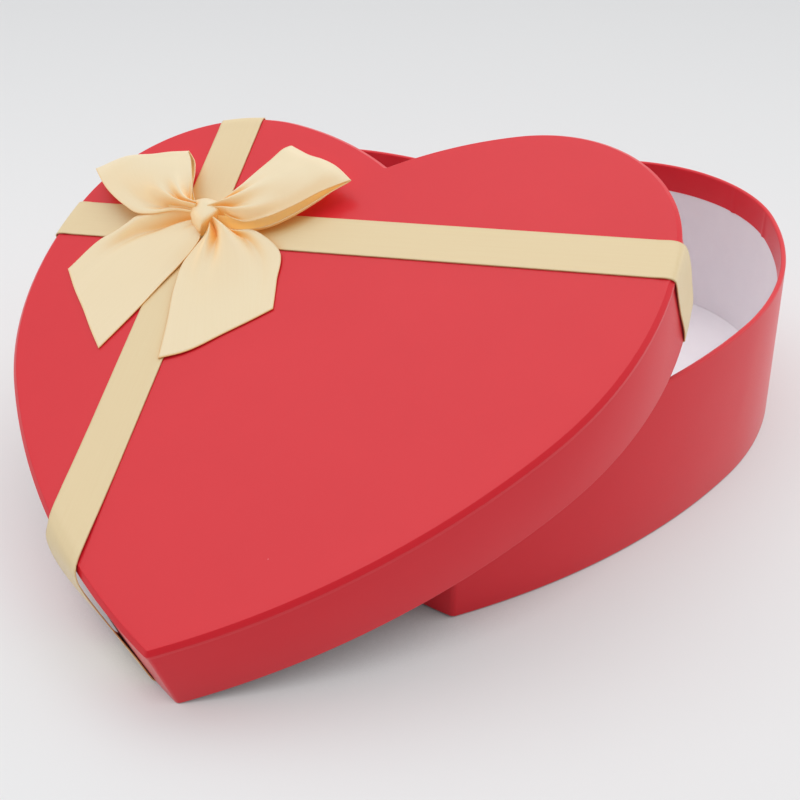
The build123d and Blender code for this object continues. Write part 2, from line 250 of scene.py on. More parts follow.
def wrapped_paper_tree():
    """Geometry Nodes: a strip of paper that follows an outline with a given profile, wavy at its free edge.
    Where its two halves would cross, at the tip, they are mitred on the heart's axis."""
    tree = bpy.data.node_groups.new("wrapped paper", "GeometryNodeTree")
    kinds = {"Outline": "Geometry", "Profile": "Object", "Edge radius": "Float", "Wave": "Float",
             "Wave length": "Float", "Pleat height": "Float", "Paper": "Material"}
    for name, kind in kinds.items():
        tree.interface.new_socket(name, in_out="INPUT", socket_type="NodeSocket" + kind)
    tree.interface.new_socket("Strip", in_out="OUTPUT", socket_type="NodeSocketGeometry")
    given = add_node(tree, "NodeGroupInput").outputs
    outline = add_node(tree, "GeometryNodeMeshToCurve", {0: given["Outline"]})
    upright = add_node(tree, "GeometryNodeSetCurveNormal", {0: outline.outputs[0]}, mode="Z_UP")
    drawn = add_node(tree, "GeometryNodeObjectInfo", {"Object": given["Profile"]})
    profile = add_node(tree, "GeometryNodeMeshToCurve", {0: drawn.outputs["Geometry"]})
    rounded = add_node(tree, "GeometryNodeFilletCurve",
                       {0: profile.outputs[0], "Count": edge_steps, "Radius": given["Edge radius"],
                        "Limit Radius": True}, mode="POLY")
    strip = add_node(tree, "GeometryNodeCurveToMesh",
                     {"Curve": upright.outputs[0], "Profile Curve": rounded.outputs[0]})

    # The free edge waves up and down, and stands proud where it is pleated
    free, pleat, half = [
        add_node(tree, "GeometryNodeInputNamedAttribute", {"Name": name}, data_type="FLOAT")
        for name in ("free_edge", "pleat", "half")]
    place = add_node(tree, "GeometryNodeInputPosition")
    pitch = add_node(tree, "ShaderNodeMath", {0: 1.0, 1: given["Wave length"]}, operation="DIVIDE")
    noise = add_node(tree, "ShaderNodeTexNoise",
                     {"Vector": place.outputs[0], "Scale": pitch.outputs[0], "Detail": 2.0})
    centred = add_node(tree, "ShaderNodeMath", {0: noise.outputs[0], 1: 0.5}, operation="SUBTRACT")
    swing = add_node(tree, "ShaderNodeMath", {0: centred.outputs[0], 1: given["Wave"]},
                     operation="MULTIPLY")
    lift = add_node(tree, "ShaderNodeMath", {0: swing.outputs[0], 1: free.outputs[0]}, operation="MULTIPLY")
    up = add_node(tree, "ShaderNodeCombineXYZ", {2: lift.outputs[0]})
    fold = add_node(tree, "ShaderNodeMath", {0: pleat.outputs[0], 1: free.outputs[0]}, operation="MULTIPLY")
    proud = add_node(tree, "ShaderNodeMath", {0: fold.outputs[0], 1: given["Pleat height"]},
                     operation="MULTIPLY")
    facing = add_node(tree, "GeometryNodeInputNormal")
    out = add_node(tree, "ShaderNodeVectorMath", {0: facing.outputs[0], "Scale": proud.outputs[0]},
                   operation="SCALE")
    moved = add_node(tree, "ShaderNodeVectorMath", {0: up.outputs[0], 1: out.outputs[0]}, operation="ADD")
    placed = add_node(tree, "GeometryNodeSetPosition", {0: strip.outputs[0], "Offset": moved.outputs[0]})

    # Each half stays on its own side of the axis
    spot = add_node(tree, "ShaderNodeSeparateXYZ", {0: place.outputs[0]})
    inside = add_node(tree, "ShaderNodeMath", {0: spot.outputs[0], 1: half.outputs[0]},
                      operation="MULTIPLY")
    stopped = add_node(tree, "ShaderNodeMath", {0: inside.outputs[0], 1: 0.0}, operation="MAXIMUM")
    sided = add_node(tree, "ShaderNodeMath", {0: stopped.outputs[0], 1: half.outputs[0]},
                     operation="MULTIPLY")
    kept = add_node(tree, "ShaderNodeCombineXYZ",
                    {0: sided.outputs[0], 1: spot.outputs[1], 2: spot.outputs[2]})
    mitred = add_node(tree, "GeometryNodeSetPosition", {0: placed.outputs[0], "Position": kept.outputs[0]})
    real = add_node(tree, "GeometryNodeRealizeInstances", {0: mitred.outputs[0]})
    covered = add_node(tree, "GeometryNodeSetMaterial", {0: real.outputs[0], "Material": given["Paper"]})
    add_node(tree, "NodeGroupOutput", {0: covered.outputs[0]})
    return tree


def evaluated_mesh(piece):
    """A plain mesh of an object with its modifiers applied."""
    return bpy.data.meshes.new_from_object(piece.evaluated_get(bpy.context.evaluated_depsgraph_get()))


def wrap_paper(name, outline, profile, free_edge, place, edge_radius, wave, wave_length, pleat_height):
    """Red paper swept round an outline, as a plain mesh at its place; free_edge marks its cut end."""
    *along, whole = run_lengths(outline)
    spots = np.concatenate([pleat_places, whole - np.array(pleat_places)])
    pleat = np.exp(-((np.array(along)[:, None] - spots) / pleat_width) ** 2).sum(axis=1)
    half = np.sign(np.round(outline[:, 0], 6))
    carrier = edge_object(name + "_outline", outline, True, pleat=pleat, half=half)
    drawn = edge_object(name + "_profile", [(x, -z) for x, z in profile], False, free_edge=free_edge)
    sweep = carrier.modifiers.new("wrapped paper", "NODES")
    sweep.node_group = paper_tree
    values = {"Profile": drawn, "Edge radius": edge_radius, "Wave": wave, "Wave length": wave_length,
              "Pleat height": pleat_height, "Paper": red}
    for item in paper_tree.interface.items_tree:
        if item.name in values:
            sweep[item.identifier] = values[item.name]
    mesh = evaluated_mesh(carrier)
    for helper in (carrier, drawn):
        bpy.data.objects.remove(helper)
    mesh.name = name
    mesh.transform(place)
    mesh.shade_smooth()
    return add_object(name, mesh)


def add_thickness(piece, thickness, offset):
    """A Solidify modifier; offset -1 grows behind the face and 0 to both sides."""
    shell = piece.modifiers.new("thickness", "SOLIDIFY")
    shell.thickness = thickness
    shell.offset = offset
    return shell


def add_paper_thickness(piece):
    """The paper's thickness behind its face, in a plain mesh whose cut edges stay crisp."""
    add_thickness(piece, paper_thickness, -1)
    thick = evaluated_mesh(piece)
    piece.modifiers.clear()
    piece.data = thick
    thick.name = piece.name
    thick.set_sharp_from_angle(angle=math.radians(crisp_angle))


def red_paper():
    """Coated dyed paper: a satin red, paler at a grazing angle, with faint clouds and a little dust."""
    material, tree, shader = new_finish("coated red paper", Specular_IOR_Level=0.36, Sheen_Weight=0.1,
                                        Sheen_Roughness=0.3, Sheen_Tint=colour("#FFF2F4"))
    place = add_node(tree, "ShaderNodeTexCoord").outputs["Object"]
    clouds = add_node(tree, "ShaderNodeTexNoise",
                      {"Vector": place, "Scale": 1 / dye_cloud_size, "Detail": 3.0})
    tone = add_node(tree, "ShaderNodeMix",
                    {0: clouds.outputs[0], 6: colour("#DB1A2A"), 7: colour("#E2212F")}, data_type="RGBA")
    cells = add_node(tree, "ShaderNodeTexVoronoi", {"Vector": place, "Scale": 1 / dust_spacing})
    dust = add_node(tree, "ShaderNodeMath", {0: cells.outputs["Distance"], 1: dust_share},
                    operation="LESS_THAN")
    dusted = add_node(tree, "ShaderNodeMix",
                      {0: dust.outputs[0], 6: tone.outputs[2], 7: colour("#E2626A")}, data_type="RGBA")
    grain = add_node(tree, "ShaderNodeTexNoise",
                     {"Vector": place, "Scale": 1 / coat_grain_size, "Detail": 2.0})
    ripple = add_node(tree, "ShaderNodeTexNoise",
                      {"Vector": place, "Scale": 1 / board_ripple_size, "Detail": 1.0})
    gloss = add_node(tree, "ShaderNodeMapRange",
                     {"Value": grain.outputs[0], "To Min": 0.28, "To Max": 0.38})
    slow = add_node(tree, "ShaderNodeBump",
                    {"Height": ripple.outputs[0], "Strength": 0.6, "Distance": board_ripple_depth})
    fine = add_node(tree, "ShaderNodeBump",
                    {"Height": grain.outputs[0], "Strength": 0.12, "Distance": coat_grain_depth,
                     "Normal": slow.outputs[0]})
    tree.links.new(dusted.outputs[2], shader.inputs["Base Color"])
    tree.links.new(gloss.outputs[0], shader.inputs["Roughness"])
    tree.links.new(fine.outputs[0], shader.inputs["Normal"])
    return material


paper_tree = wrapped_paper_tree()
red = red_paper()
base_place = Matrix.Translation((0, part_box("base_wrap_paper")[0].y, 0))
base_line = heart_outline(0, base_tip_radius)[0]
base_profile = [(-wall_thickness, base_height - base_turn_in), (-wall_thickness, base_height),
                (base_wrap_ease, base_height), (base_wrap_ease, base_foot), (-base_turn_under, base_foot)]
base_wrap = wrap_paper("base_wrap", base_line, base_profile, (1, 0, 0, 0, 0), base_place,
                       base_rim_radius, turn_in_wave, turn_in_wave_length, turn_in_pleat)
add_paper_thickness(base_wrap)
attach(base_wrap, "base")
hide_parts("base_wrap_paper")
cover_nodes(["base_underside_paper"], red)

# Red wrap of the lid's skirt: a narrower strip of the same paper, turned over onto the top board and in at
# the foot. The lid's own axes are read from its boards: across, along the heart, and square to its top.
lid_depth = 33.8 * mm
lid_outside = 2.7 * mm
lid_tip_radius = 2.4 * mm
lid_wrap_ease = 0.15 * mm
lid_turn_over = 10 * mm
lid_turn_in = 13 * mm
top_paper_step = 0.3 * mm
lid_edge_radius = 0.6 * mm


def corners_of(name):
    """The corners of each triangle of a CAD node."""
    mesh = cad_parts[name].data
    mesh.calc_loop_triangles()
    return np.array([[mesh.vertices[v].co for v in face.vertices] for face in mesh.loop_triangles])


def middle_of(name):
    """The middle of a CAD node's surface."""
    a, b, c = np.moveaxis(corners_of(name), 1, 0)
    area = np.linalg.norm(np.cross(b - a, c - a), axis=1)
    return ((a + b + c) / 3 * area[:, None]).sum(axis=0) / area.sum()


def axes_of_lid():
    """The lid's place: its axes as columns and, as origin, the base outline's tip at the skirt's foot."""
    a, b, c = np.moveaxis(corners_of("lid_top_board"), 1, 0)
    faces = np.cross(b - a, c - a)
    up = faces[np.argmax(np.linalg.norm(faces, axis=1))]
    up = up / np.linalg.norm(up) * np.sign(up[2])
    right, left = middle_of("lid_wall_board_right"), middle_of("lid_wall_board_left")
    across = right - left - up * np.dot(right - left, up)
    across /= np.linalg.norm(across)
    along = np.cross(up, across)
    wrap = corners_of("lid_wrap_paper").reshape(-1, 3)
    origin = across * np.dot((right + left) / 2, across)
    origin = origin + along * ((wrap @ along).min() - lid_tip) + up * (wrap @ up).min()
    return Matrix((*zip(across, along, up, origin), (0, 0, 0, 1)))


lid_tip = heart_outline(lid_outside, paper_thickness)[0][0][1]
lid_place = axes_of_lid()
lid_line, lid_outward = heart_outline(lid_outside, lid_tip_radius)
flange_top = lid_depth - top_paper_step
lid_profile = [(-lid_turn_over, flange_top), (lid_wrap_ease, flange_top), (lid_wrap_ease, 0),
               (-wall_thickness, 0), (-wall_thickness, lid_turn_in)]
lid_wrap = wrap_paper("lid_wrap", lid_line, lid_profile, (0, 0, 0, 0, 1), lid_place,
                      lid_edge_radius, turn_in_wave, turn_in_wave_length, turn_in_pleat)
add_paper_thickness(lid_wrap)
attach(lid_wrap, "lid")
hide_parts("lid_wrap_paper")

# Red sheet on the lid's top: cut a little larger than the board, glued down and pressed over its edge. The
# turned-over wrap lifts it a little. Its edge is a soft shoulder and a narrow lip, trimmed by hand, so the
# lip's foot wanders.
top_rise = 0.45 * mm
shoulder_width = 1.1 * mm
shoulder_drop = 1.1 * mm
lip_depth = 2.8 * mm
lip_proud = 0.75 * mm
lip_tuck = 0.6 * mm
lip_wave = 1.6 * mm
lip_wave_length = 60 * mm
top_edge_radius = 0.5 * mm
top_margin = 3.5 * mm
top_high = lid_depth + top_rise

top_profile = [(-top_margin, top_high), (-shoulder_width, top_high), (lip_proud, lid_depth - shoulder_drop),
               (lip_tuck, lid_depth - lip_depth)]
lid_top = wrap_paper("lid_top", lid_line, top_profile, (0, 0, 0, 1), lid_place,
                     top_edge_radius, lip_wave, lip_wave_length, 0)
sheet = bmesh.new()
sheet.from_mesh(lid_top.data)
to_lid = lid_place.inverted()
inner_height = max((to_lid @ v.co).z for v in sheet.verts)
rim = [e for e in sheet.edges if e.is_boundary
       and all((to_lid @ v.co).z > inner_height - top_edge_radius / 2 for v in e.verts)]
filled = bmesh.ops.edgeloop_fill(sheet, edges=rim)["faces"]
if filled[0].normal.dot(lid_place.col[2].to_3d()) < 0:
    bmesh.ops.reverse_faces(sheet, faces=filled)
for face in filled:
    face.smooth = True
sheet.to_mesh(lid_top.data)
sheet.free()
add_paper_thickness(lid_top)
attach(lid_top, "lid")
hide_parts("lid_top_paper")

# Two ribbon bands: 20 mm polyester satin, laid across and along the lid and folded over its edge. Each end
# runs down the skirt and is tucked in under its foot; the near end of the band along the lid stands off it.
band_width = 20 * mm
ribbon_thickness = 0.4 * mm
band_along_turn = 6.1
band_across_from_tip = 205.2 * mm
band_across_turn = 0.8
band_along_from_axis = 73.2 * mm
band_tab = 12 * mm
band_columns = 15
band_top_rows = 90
fold_row_spacing = 0.8 * mm
band_lie = 0.35 * mm
band_off = 1.25 * mm
loose_slant = 1.13
loose_bulge = 3.0 * mm
right_end_bulge = 2.0 * mm
bulge_high_share = 0.63
band_hump = 0.5 * mm
band_hump_half = 11.5 * mm
band_ramp = 6 * mm
selvedge_width = 0.7 * mm
selvedge_share = 1.3
thread_spacing = 0.9 * mm
thread_depth = 0.04 * mm
rib_spacing = 0.7 * mm
streak_length = 45 * mm
# Painted light and shade of the satin: how far ambient occlusion looks for folds, how hard it turns them to
# the fold colour, and where the painted glow peaks in a fold and where it starts on sloping cloth
painted_shade_reach = 6 * mm
painted_shade_power = 2.2
glow_openness = 0.8
level_cloth = 0.95
steep_cloth = 0.55
crossing = np.array((-band_along_from_axis, lid_tip + band_across_from_tip))

# A band's height over and under the lid, and its place inside the skirt
band_over = top_rise + band_lie
band_under = -lid_depth - band_lie
band_inside = -wall_thickness - band_lie


def smooth(points, knots, at):
    """A smooth curve through points at their knots, read at other knots."""
    points = np.asarray(points, float)
    slope = np.gradient(points, knots, axis=0)
    i = np.clip(np.searchsorted(knots, at, side="right") - 1, 0, len(knots) - 2)
    shape = (-1,) + (1,) * (points.ndim - 1)
    gap = (knots[i + 1] - knots[i]).reshape(shape)
    t = (at - knots[i]).reshape(shape) / gap
    start = (2 * t**3 - 3 * t**2 + 1) * points[i] + (t**3 - 2 * t**2 + t) * gap * slope[i]
    return start + (3 * t**2 - 2 * t**3) * points[i + 1] + (t**3 - t**2) * gap * slope[i + 1]


def chord_knots(points):
    """How far along an open line each of its points lies."""
    return np.concatenate([[0], np.cumsum(np.linalg.norm(np.diff(points, axis=0), axis=1))])


def satin(name, fold, dark, light, glow, painted_slope_glow):
    """Polyester satin: smooth pale gold, with a broad soft sheen and faint threads, and painted light and
    shade.
    Where ambient occlusion finds the cloth sheltered its colour turns to the fold colour, a painted shade,
    and the fold colour is also emitted as a painted glow halfway into folds and on sloping cloth; the last
    two arguments set how strong each glow is.
    The threads are drawn three times as coarse as they are, so that they show at all."""
    material, tree, shader = new_finish(name, Roughness=0.48, Sheen_Weight=0.35, Sheen_Roughness=0.5,
                                        Sheen_Tint=colour("#FFF6E6"), Specular_IOR_Level=0.9,
                                        Emission_Color=colour(fold))
    flat = add_node(tree, "ShaderNodeUVMap", uv_map="ribbon").outputs[0]
    threads = add_node(tree, "ShaderNodeMapping",
                       {"Vector": flat, "Scale": (1 / thread_spacing, 1 / streak_length, 1)})
    warp = add_node(tree, "ShaderNodeTexNoise", {"Vector": threads.outputs[0], "Scale": 1.0, "Detail": 2.0})
    tone = add_node(tree, "ShaderNodeMix",
                    {0: warp.outputs[0], 6: colour(dark), 7: colour(light)}, data_type="RGBA")
    # Painted shade: sheltered cloth turns towards the fold colour
    shelter = add_node(tree, "ShaderNodeAmbientOcclusion", {"Distance": painted_shade_reach}, samples=8)
    openness = shelter.outputs["AO"]
    clear = add_node(tree, "ShaderNodeMath", {0: openness, 1: painted_shade_power}, operation="POWER")
    painted_fold_shade = add_node(tree, "ShaderNodeMix",
                      {0: clear.outputs[0], 6: colour(fold), 7: tone.outputs[2]}, data_type="RGBA")

    # The painted glow is strongest halfway into a fold, and on cloth that slopes
    shallow = add_node(tree, "ShaderNodeMapRange", {"Value": openness, "From Max": glow_openness})
    deep = add_node(tree, "ShaderNodeMath", {0: 1.0, 1: shallow.outputs[0]}, operation="SUBTRACT")
    between = add_node(tree, "ShaderNodeMath", {0: shallow.outputs[0], 1: deep.outputs[0]},
                       operation="MULTIPLY")
    painted_fold_glow = add_node(tree, "ShaderNodeMath", {0: between.outputs[0], 1: 4 * glow}, operation="MULTIPLY")
    facing = add_node(tree, "ShaderNodeNewGeometry").outputs["Normal"]
    upward = add_node(tree, "ShaderNodeSeparateXYZ", {0: facing}).outputs[2]
    slope = add_node(tree, "ShaderNodeMapRange",
                     {"Value": upward, "From Min": level_cloth, "From Max": steep_cloth,
                      "To Max": painted_slope_glow})
    painted_glow_strength = add_node(tree, "ShaderNodeMath", {0: painted_fold_glow.outputs[0], 1: slope.outputs[0]},
                     operation="MAXIMUM")
    ribs = add_node(tree, "ShaderNodeMapping",
                    {"Vector": flat, "Scale": (1 / streak_length, 1 / rib_spacing, 1)})
    weft = add_node(tree, "ShaderNodeTexNoise", {"Vector": ribs.outputs[0], "Scale": 1.0, "Detail": 1.0})
    weave = add_node(tree, "ShaderNodeMath", {0: warp.outputs[0], 1: weft.outputs[0]}, operation="ADD")
    cloth = add_node(tree, "ShaderNodeBump",
                     {"Height": weave.outputs[0], "Strength": 0.08, "Distance": thread_depth})
    tree.links.new(painted_fold_shade.outputs[2], shader.inputs["Base Color"])
    tree.links.new(painted_glow_strength.outputs[0], shader.inputs["Emission Strength"])
    tree.links.new(cloth.outputs[0], shader.inputs["Normal"])
    return material


def across_shares(columns, width):
    """Where the columns of a ribbon lie, from -1 to 1, with one close to each woven edge."""
    inner = np.linspace(-1, 1, columns)
    edge = 1 - 2 * selvedge_width / width
    return np.unique(np.concatenate([inner, [-edge, edge]]))


def ribbon_sheet(name, grid, shares, width, right_side, wrong_side):
    """A ribbon from a grid of places in the lid's axes, columns by rows, thicker at its woven edges.
    Its right side is the one that faces up in its first half."""
    columns, rows = grid.shape[:2]
    first = grid[:, :rows // 2]
    if np.cross(np.gradient(first, axis=0), np.gradient(first, axis=1))[..., 2].sum() < 0:
        grid = grid[::-1]
    mesh = bpy.data.meshes.new(name)
    faces = [(c * rows + r, (c + 1) * rows + r, (c + 1) * rows + r + 1, c * rows + r + 1)
             for c in range(columns - 1) for r in range(rows - 1)]
    mesh.from_pydata([lid_place @ Vector(p) for p in grid.reshape(-1, 3)], [], faces)
    along = np.mean([chord_knots(line) for line in grid], axis=0)
    flat = mesh.uv_layers.new(name="ribbon")
    for loop in mesh.loops:
        c, r = divmod(loop.vertex_index, rows)
        flat.data[loop.index].uv = (shares[c] * width / 2, along[r])
    mesh.shade_smooth()
    for side in (right_side, wrong_side):
        mesh.materials.append(side)
    made = add_object(name, mesh)
    woven_edge = made.vertex_groups.new(name="woven edge")
    woven_edge.add([c * rows + r for c in (0, columns - 1) for r in range(rows)], 1.0, "REPLACE")
    shell = add_thickness(made, selvedge_share * ribbon_thickness, 0)
    shell.material_offset = 1
    shell.vertex_group = woven_edge.name
    shell.thickness_vertex_group = 1 / selvedge_share
    return made


def ribbon_calls(piece, node):
    """Puts a ribbon on the lid and hides the CAD node that it stands for."""
    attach(piece, "lid")
    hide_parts(node)


def leave_lid(start, way):
    """Where a line on the lid's top meets its edge: how far that is, and how far round the outline."""
    edge = np.roll(lid_line, -1, axis=0) - lid_line
    gap = lid_line - start
    cross = way[0] * edge[:, 1] - way[1] * edge[:, 0]
    reach = (gap[:, 0] * edge[:, 1] - gap[:, 1] * edge[:, 0]) / cross
    share = (gap[:, 0] * way[1] - gap[:, 1] * way[0]) / cross
    hit = np.flatnonzero((share >= 0) & (share < 1) & (reach > 0))[0]
    return reach[hit], run_lengths(lid_line)[hit] + share[hit] * np.linalg.norm(edge[hit])


def on_outline(far):
    """The outline's point and outward direction, so far round it."""
    around = run_lengths(lid_line)
    closed = np.concatenate([lid_line, lid_line[:1]])
    facing = np.concatenate([lid_outward, lid_outward[:1]])
    point = np.stack([np.interp(far, around, closed[:, k]) for k in range(2)], axis=-1)
    normal = np.stack([np.interp(far, around, facing[:, k]) for k in range(2)], axis=-1)
    return point, normal / np.linalg.norm(normal, axis=-1, keepdims=True)


def tight_fold():
    """A band's path over the edge, as how far outside the skirt and how high over the lid's top it is."""
    return [(-8 * mm, band_over), (-1.6 * mm, band_over), (0.2 * mm, 0.3 * mm), (1.1 * mm, -0.8 * mm),
            (band_off, -2.3 * mm), (1.1 * mm, -8 * mm), (0.9 * mm, -lid_depth / 2),
            (0.75 * mm, band_under + 2 * mm), (0.35 * mm, band_under + 0.3 * mm), (-0.6 * mm, band_under),
            *tucked_end()]


def loose_fold():
    """The same for the end that stands off the skirt: it leaves the edge in a wide bend."""
    return [(-30 * mm, band_over), (-18 * mm, 1.1 * mm), (-8 * mm, 1.45 * mm), (-1.8 * mm, 1.3 * mm),
            (1.3 * mm, 0.3 * mm), (2.5 * mm, -1.7 * mm), (2.7 * mm, -4.5 * mm), (2.4 * mm, -9 * mm),
            (1.6 * mm, -17 * mm), (0.8 * mm, -26 * mm), (0.5 * mm, band_under + 1.6 * mm),
            (0, band_under + 0.2 * mm), (-0.9 * mm, band_under), *tucked_end()]


def tucked_end():
    """The last points of both paths, under the foot and up the inside of the skirt."""
    return [(band_inside + 0.6 * mm, band_under), (band_inside, band_under + 0.7 * mm),
            (band_inside, band_under + band_tab / 2), (band_inside, band_under + band_tab)]


def fold_rows(path):
    """Evenly spaced points on the smooth line through a path."""
    knots = chord_knots(np.array(path))
    count = math.ceil(knots[-1] / fold_row_spacing)
    return smooth(path, knots, np.linspace(0, knots[-1], count))


def band_end(start, heading, path, slant=None, bulge=0):
    """One line of a band from the top over the edge, down the skirt and in under it. It slants along the
    skirt as the fold at the edge turns it, unless a slant is given, and it may bulge outwards."""
    way = direction(heading)
    reach, far = leave_lid(start, way)
    normal = on_outline(far)[1]
    tangent = np.array((-normal[1], normal[0]))
    steep = way @ normal
    slant = way @ tangent / steep if slant is None else slant
    step = np.linalg.norm(np.diff(path, axis=0), axis=1)
    past = np.concatenate([[0], np.cumsum(np.where(path[1:, 0] > 0, step, 0))])
    last_inside = np.argmax(path[:, 0] > 0)
    run = np.cumsum(step)
    past[last_inside + 1:] = past[last_inside] + run[last_inside:] - run[last_inside - 1]
    past = np.minimum(past, lid_depth)
    places = []
    for row, (out, high) in enumerate(path):
        if row < last_inside:
            spot = start + way * (reach + out / steep)
        else:
            base, facing = on_outline(far + slant * past[row])
            down = np.clip(-high / lid_depth, 0, 1) ** bulge_high_share
            spot = base + facing * (out + bulge * math.sin(math.pi * down))
        places.append((*spot, lid_depth + high))
    return np.array(places)


def band_grid(heading, near_path, far_path, hump, near_slant=None, near_bulge=0, far_bulge=0):
    """A whole band as columns of places: near end, top and far end. An end bulges most at the left edge."""
    shares = across_shares(band_columns, band_width)
    way = direction(heading)
    side = np.array((-way[1], way[0]))
    columns = []
    for share in shares:
        start = crossing + side * share * band_width / 2
        lift = ((share + 1) / 2) ** 2
        first = band_end(start, heading + 180, fold_rows(near_path), near_slant, lift * near_bulge)[::-1]
        last = band_end(start, heading, fold_rows(far_path), None, lift * far_bulge)
        top = np.linspace(first[-1], last[0], band_top_rows)[1:-1]
        from_crossing = np.abs((top[:, :2] - crossing) @ way)
        climb = np.clip((band_hump_half + band_ramp - from_crossing) / band_ramp, 0, 1)
        top[:, 2] += hump * climb**2 * (3 - 2 * climb)
        columns.append(np.concatenate([first, top, last]))
    return np.array(columns), shares


# Band finishes: painted shade in their folds and no painted glow. The reverse side is a darker, more orange
# copy, partly the duller back of the satin and partly painted shade for the insides of the folds.
gold_satin = satin("gold polyester satin", "#D9A552", "#E5CC9A", "#E8D2A3", 0, 0)
gold_reverse_painted_shade = satin("reverse of gold satin", "#B9792A", "#CFA562", "#D5AE6E", 0, 0)
along_grid, band_shares = band_grid(90 + band_along_turn, loose_fold(), tight_fold(), 0,
                                    loose_slant, loose_bulge)
band_along = ribbon_sheet("band_along", along_grid, band_shares, band_width, gold_satin, gold_reverse_painted_shade)
ribbon_calls(band_along, "ribbon_along")
across_grid, band_shares = band_grid(band_across_turn, tight_fold(), tight_fold(), band_hump,
                                     far_bulge=right_end_bulge)
band_across = ribbon_sheet("band_across", across_grid, band_shares, band_width, gold_satin, gold_reverse_painted_shade)
ribbon_calls(band_across, "ribbon_across")

# Glue spot under the bow: a blob of hot-melt glue, pressed flat between the bands' crossing and the knot.
# It sets in a low uneven dome, milky and slightly shiny. Each wave of its edge is a share of its radius,
# a count round it and a shift.
glue_place = crossing + np.array((5, 0)) * mm
glue_radius = 7 * mm
glue_low = 1.1 * mm
glue_height = 1.2 * mm
glue_sides = 48
glue_rings = 8
glue_waves = ((0.08, 3, 1), (0.05, 5, 0))
glue_swell_size = 2.5 * mm


def hot_melt():
    """Hot-melt glue: milky, half clear, with a soft shine and slow swells."""
    material, tree, shader = new_finish("hot-melt glue", Roughness=0.35, Subsurface_Weight=0.2)
    place = add_node(tree, "ShaderNodeTexCoord").outputs["Object"]
    swell = add_node(tree, "ShaderNodeTexNoise",
                     {"Vector": place, "Scale": 1 / glue_swell_size, "Detail": 2.0})
    tone = add_node(tree, "ShaderNodeMix",
                    {0: swell.outputs[0], 6: colour("#D9D2BE"), 7: colour("#EFEADB")}, data_type="RGBA")
    tree.links.new(tone.outputs[2], shader.inputs["Base Color"])
    return material


blob = bmesh.new()
rings = []
for ring in range(glue_rings):
    tilt = math.pi / 2 * ring / glue_rings
    high = top_high + glue_low + glue_height * math.sin(tilt)
    circle = []
    for side in range(glue_sides):
        turn = 2 * math.pi * side / glue_sides
        wave = sum(share * math.cos(count * turn + shift) for share, count, shift in glue_waves)
        spread = glue_radius * (1 - wave) * math.sqrt(math.cos(tilt))
        spot = (glue_place[0] + spread * math.cos(turn), glue_place[1] + spread * math.sin(turn))
        circle.append(blob.verts.new(lid_place @ Vector((*spot, high))))
    rings.append(circle)
for lower, upper in zip(rings, rings[1:]):
    for side in range(glue_sides):
        after = (side + 1) % glue_sides
        blob.faces.new((lower[side], lower[after], upper[after], upper[side]))
blob.faces.new(rings[-1])
blob.faces.new(rings[0][::-1])
glue_mesh = bpy.data.meshes.new("glue_spot")
blob.to_mesh(glue_mesh)
blob.free()
glue_mesh.shade_smooth()
glue_mesh.materials.append(hot_melt())
glue_spot = add_object("glue_spot", glue_mesh)
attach(glue_spot, "lid")
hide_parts("bow_glue_pad")

# Bow: one length of 50 mm satin ribbon tied in two loops and two tails, gathered tight in the knot. Each
# part is drawn as five rails along the ribbon, from edge to edge, in millimetres from the bow's middle.
# A crease is its place and width across the ribbon, its height in millimetres and its reach along it.
bow_width = 50 * mm
bow_columns = 61
bow_rows = 64
bow_from_crossing = np.array((1.2, 1.9)) * mm
bow_origin = crossing + bow_from_crossing
crease_fade = 1.5
pleat_count = 3
pleat_depth = 2.8 * mm
pleat_fullness = 0.96
pleat_out_share = 0.28
pleat_home_share = 0.12
pleat_fade = 1.2
pleat_halvings = 20
loop_turn = 7
# Bow finishes: painted shade and a painted warm glow in the folds and on slopes. The reverse side is a
# warmer copy with a stronger painted glow, partly the duller back of the satin and partly painted light on
# the insides of the loops.
pale_satin = satin("pale gold polyester satin", "#DDA04A", "#EDD9AF", "#F0DEB8", 0.25, 0.3)
pale_reverse_painted_light = satin("reverse of pale gold satin", "#EBC57A", "#EED3A0", "#F2DAAC", 0.34, 0)


def rail_rows(rail, turn, count):
    """Places along one rail; turn is the number of the point, halfway, where the ribbon folds back."""
    rail = np.array(rail, float) * mm
    if turn is None:
        knots = chord_knots(rail)
        knots = knots / knots[-1]
    else:
        out = chord_knots(rail[:turn + 1])
        home = chord_knots(rail[turn:])
        knots = np.concatenate([out / out[-1] / 2, 0.5 + home[1:] / home[-1] / 2])
    return smooth(rail, knots, np.linspace(0, 1, count))


def gather(grid, shares, deepest):
    """Upright pleats across a ribbon, as deep in each row as its spare width needs, up to its deepest."""
    wave = np.sin(math.pi * pleat_count * (shares + 1))
    for row, most in enumerate(deepest):
        low, high = 0.0, most
        for _ in range(pleat_halvings):
            depth = (low + high) / 2
            line = grid[:, row] + np.outer(wave, (0, 0, depth))
            short = chord_knots(line)[-1] < pleat_fullness * bow_width
            low, high = (depth, high) if short else (low, depth)
        grid[:, row] = line
    return grid


def bow_sheet(rails, creases, turn=None, rows=bow_rows, columns=bow_columns, width=bow_width):
    """A sheet through its rails, with its creases, and with pleats at both ends if it is a loop."""
    shares = across_shares(columns, width)
    lines = np.array([rail_rows(rail, turn, rows) for rail in rails])
    grid = smooth(lines, np.linspace(-1, 1, len(rails)), shares)
    run = np.linspace(0, 1, rows)
    for middle, spread, height, reach in creases:
        fade = np.clip(1 - run / reach, 0, 1) ** crease_fade
        bump = np.exp(-((shares - middle) / spread) ** 2)
        grid[:, :, 2] += height * mm * np.outer(bump, fade)
    if turn is not None:
        out = np.clip(1 - run / pleat_out_share, 0, 1) ** pleat_fade
        home = np.clip((run - 0.5) / pleat_home_share, 0, 1)
        grid = gather(grid, shares, pleat_depth * np.maximum(out, home))
    return grid + np.array((*bow_origin, top_high)), shares


